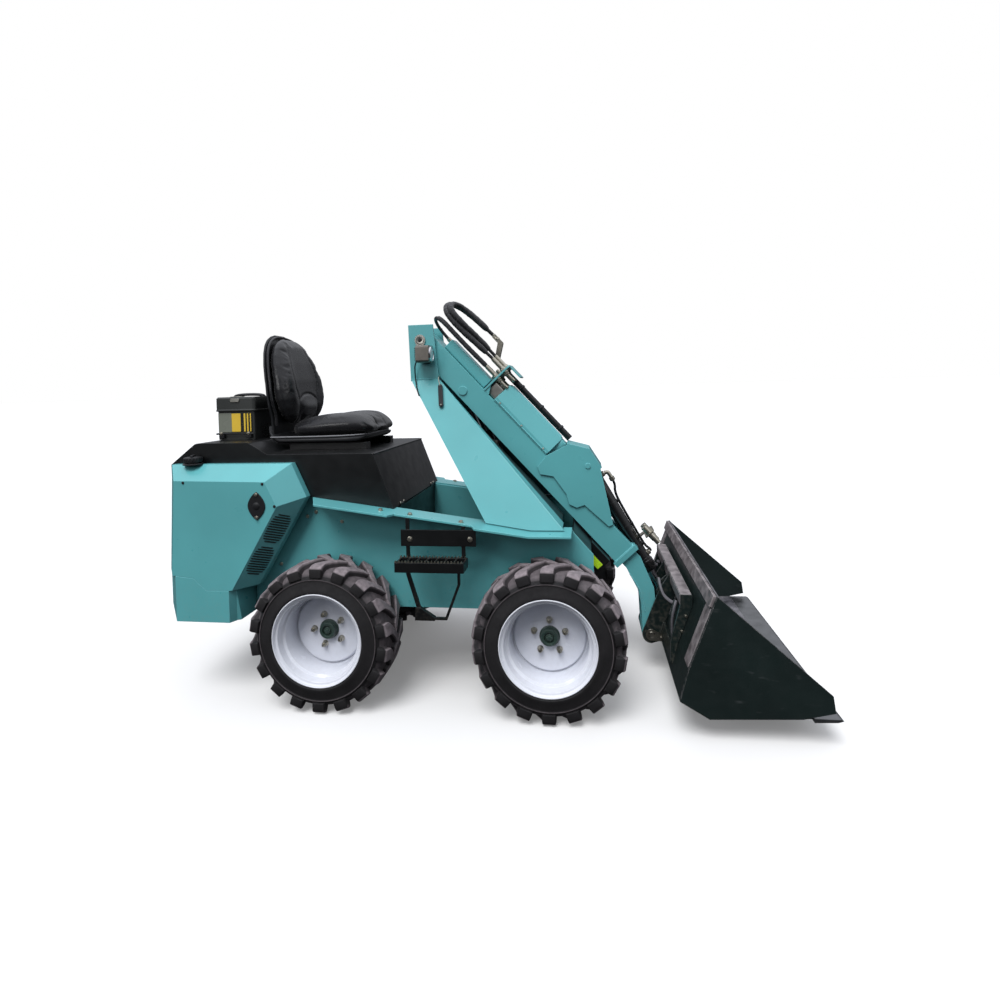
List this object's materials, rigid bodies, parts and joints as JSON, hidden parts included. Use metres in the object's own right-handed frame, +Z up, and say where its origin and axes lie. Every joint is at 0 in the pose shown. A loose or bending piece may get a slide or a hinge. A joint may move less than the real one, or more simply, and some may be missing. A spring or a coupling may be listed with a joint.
{
  "type": "mini wheel loader",
  "caption": "Compact skid-steered wheel loader with a driver's seat, a tower-hinged boom worked by hydraulic cylinders, and a front bucket.",
  "frame": {"origin": "on the ground, on the plane of symmetry, midway along the machine", "axes": "+X forward, +Y to the machine's left, +Z up"},
  "size_m": [2.636, 1.174, 1.6689],
  "materials": {
    "bare_edge": "worn",
    "battery_case": "matte",
    "black_paint": "semi gloss",
    "black_plastic": "satin",
    "bucket_black": "satin",
    "chrome_rod": "polished",
    "cylinder_black": "gloss",
    "engine_iron": "painted",
    "hose_rubber": "matte",
    "hub_iron": "painted",
    "seat_vinyl": "semi gloss",
    "teal_paint": "gloss",
    "tyre_rubber": "matte",
    "white_rim": "gloss",
    "zinc_plate": "zinc plated"
  },
  "bodies": {
    "frame": {"battery_box": "battery_case", "battery_lid": "black_plastic", "belly_plate": "black_paint", "boom_pivot_pin": "zinc_plate", "boom_rest": "black_paint", "counterweight": "teal_paint", "engine_block": "engine_iron", "foot_floor": "black_paint", "front_axle": "black_paint", "fuel_cap": "black_plastic", "hood": "black_paint", "hood_front": "black_paint", "lift_bracket": "black_paint", "rear_axle": "black_paint", "rear_door": "black_paint", "rear_pod_left": "teal_paint", "rear_pod_right": "teal_paint", "seat_backrest": "seat_vinyl", "seat_cushion": "seat_vinyl", "seat_pan": "black_plastic", "seat_runners": "black_paint", "side_wall_left": "teal_paint", "side_wall_right": "teal_paint", "sills": "teal_paint", "steps": "black_paint", "tower_left": "teal_paint", "tower_panels": "black_paint", "tower_right": "teal_paint", "work_light": "black_plastic"},
    "boom": {"boom_tube": "teal_paint", "boom_nose": "teal_paint", "boom_cover": "teal_paint", "tilt_saddle": "teal_paint", "hose_bulkhead": "teal_paint", "aux_couplers": "zinc_plate", "hose_fittings": "zinc_plate", "feed_pipe": "black_paint", "hose_inner": "hose_rubber", "hose_lower": "hose_rubber", "hose_outer": "hose_rubber"},
    "bucket": {"bucket": "bucket_black", "cutting_edge": "bare_edge", "coupler": "bucket_black", "bucket_pin": "zinc_plate"},
    "lift_barrel": {"lift_barrel": "cylinder_black"},
    "lift_rod": {"lift_rod": "chrome_rod"},
    "tilt_barrel": {"tilt_barrel": "cylinder_black"},
    "tilt_rod": {"tilt_rod": "chrome_rod"},
    "wheel_front_right": {"tyre_front_right": "tyre_rubber", "rim_front_right": "white_rim", "hub_front_right": "hub_iron"},
    "wheel_front_left": {"tyre_front_left": "tyre_rubber", "rim_front_left": "white_rim", "hub_front_left": "hub_iron"},
    "wheel_rear_right": {"tyre_rear_right": "tyre_rubber", "rim_rear_right": "white_rim", "hub_rear_right": "hub_iron"},
    "wheel_rear_left": {"tyre_rear_left": "tyre_rubber", "rim_rear_left": "white_rim", "hub_rear_left": "hub_iron"}
  },
  "joints": [
    {"name": "boom_lift", "type": "hinge", "parent": "frame", "child": "boom", "pos_m": [-0.258, 0, 1.49], "axis": [0, -1, 0], "range_deg": [0, 62]},
    {"name": "bucket_tilt", "type": "hinge", "parent": "boom", "child": "bucket", "pos_m": [0.739, 0, 0.17006], "axis": [0, 1, 0], "range_deg": [-10, 80]},
    {"name": "lift_barrel_swing", "type": "hinge", "parent": "frame", "child": "lift_barrel", "pos_m": [0.237, 0, 0.42], "axis": [0, -1, 0], "range_deg": [-11.94, 0.2]},
    {"name": "lift_rod_slide", "type": "slide", "parent": "lift_barrel", "child": "lift_rod", "axis": [-0.3456, 0, 0.9384], "range_m": [-0.001, 0.2316]},
    {"name": "tilt_barrel_swing", "type": "hinge", "parent": "boom", "child": "tilt_barrel", "pos_m": [0.48356, 0, 0.90775], "axis": [0, -1, 0], "range_deg": [-0.48, 2.46]},
    {"name": "tilt_rod_slide", "type": "slide", "parent": "tilt_barrel", "child": "tilt_rod", "axis": [0.4831, 0, -0.8756], "range_m": [-0.0291, 0.2262]},
    {"name": "wheel_front_right_roll", "type": "hinge", "parent": "frame", "child": "wheel_front_right", "pos_m": [0.319, 0, 0.295], "axis": [0, 1, 0], "continuous": true},
    {"name": "wheel_front_left_roll", "type": "hinge", "parent": "frame", "child": "wheel_front_left", "pos_m": [0.319, 0, 0.295], "axis": [0, 1, 0], "continuous": true},
    {"name": "wheel_rear_right_roll", "type": "hinge", "parent": "frame", "child": "wheel_rear_right", "pos_m": [-0.583, 0, 0.295], "axis": [0, 1, 0], "continuous": true},
    {"name": "wheel_rear_left_roll", "type": "hinge", "parent": "frame", "child": "wheel_rear_left", "pos_m": [-0.583, 0, 0.295], "axis": [0, 1, 0], "continuous": true}
  ],
  "couplings": [
    {"joint": "lift_barrel_swing", "follows": "boom_lift", "ratio": -0.18927},
    {"joint": "lift_rod_slide", "follows": "boom_lift", "m_per_rad": 0.21307},
    {"joint": "tilt_barrel_swing", "follows": "bucket_tilt", "ratio": 0.02828},
    {"joint": "tilt_rod_slide", "follows": "bucket_tilt", "m_per_rad": 0.16126}
  ]
}
